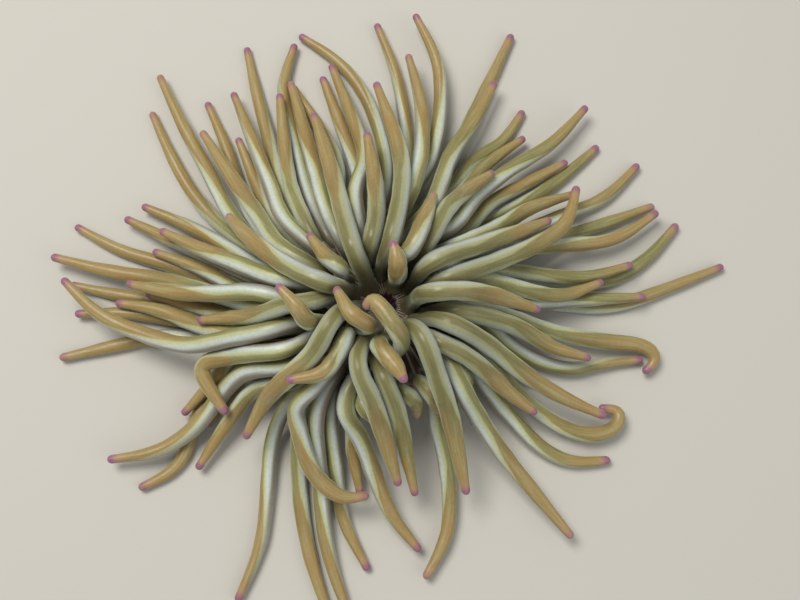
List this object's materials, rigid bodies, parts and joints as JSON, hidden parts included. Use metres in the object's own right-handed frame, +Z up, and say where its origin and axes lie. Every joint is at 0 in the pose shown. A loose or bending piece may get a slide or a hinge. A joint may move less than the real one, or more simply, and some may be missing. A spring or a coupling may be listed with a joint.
{
  "type": "sea anemone",
  "caption": "Life-size golden sea anemone: long blunt tentacles spread over the floor round a ridged disc and mouth, on a short column with a flat base.",
  "frame": {"origin": "middle of the pedal disc's flat underside, on the floor", "axes": "+Z up through the column, +Y towards the top of the view from above, +X to its right"},
  "size_m": [0.2406, 0.2195, 0.0544],
  "materials": {
    "tentacle_flesh": "moist satin flesh",
    "disc_flesh": "moist satin flesh",
    "column_flesh": "moist matte flesh",
    "throat_flesh": "moist satin flesh"
  },
  "bodies": {
    "root": {"pedal_disc": "column_flesh", "column": "column_flesh", "oral_disc": "disc_flesh", "mouth": "throat_flesh", "tentacle_inner_1": "tentacle_flesh", "tentacle_inner_2": "tentacle_flesh", "tentacle_inner_3": "tentacle_flesh", "tentacle_inner_4": "tentacle_flesh", "tentacle_inner_5": "tentacle_flesh", "tentacle_inner_6": "tentacle_flesh", "tentacle_inner_7": "tentacle_flesh", "tentacle_inner_8": "tentacle_flesh", "tentacle_inner_9": "tentacle_flesh", "tentacle_inner_10": "tentacle_flesh", "tentacle_inner_11": "tentacle_flesh", "tentacle_inner_12": "tentacle_flesh", "tentacle_inner_13": "tentacle_flesh", "tentacle_inner_14": "tentacle_flesh", "tentacle_inner_15": "tentacle_flesh", "tentacle_inner_16": "tentacle_flesh", "tentacle_inner_17": "tentacle_flesh", "tentacle_inner_18": "tentacle_flesh", "tentacle_inner_19": "tentacle_flesh", "tentacle_inner_20": "tentacle_flesh", "tentacle_inner_21": "tentacle_flesh", "tentacle_inner_22": "tentacle_flesh", "tentacle_inner_23": "tentacle_flesh", "tentacle_inner_24": "tentacle_flesh", "crown_1": "tentacle_flesh", "crown_2": "tentacle_flesh", "crown_3": "tentacle_flesh", "crown_4": "tentacle_flesh", "crown_5": "tentacle_flesh", "crown_6": "tentacle_flesh", "crown_7": "tentacle_flesh", "crown_8": "tentacle_flesh", "crown_9": "tentacle_flesh", "crown_10": "tentacle_flesh", "crown_11": "tentacle_flesh", "crown_12": "tentacle_flesh", "crown_13": "tentacle_flesh", "crown_14": "tentacle_flesh", "crown_15": "tentacle_flesh", "crown_16": "tentacle_flesh", "crown_17": "tentacle_flesh", "crown_18": "tentacle_flesh", "crown_19": "tentacle_flesh", "crown_20": "tentacle_flesh", "crown_21": "tentacle_flesh", "crown_22": "tentacle_flesh", "crown_23": "tentacle_flesh", "crown_24": "tentacle_flesh"}
  },
  "joints": []
}
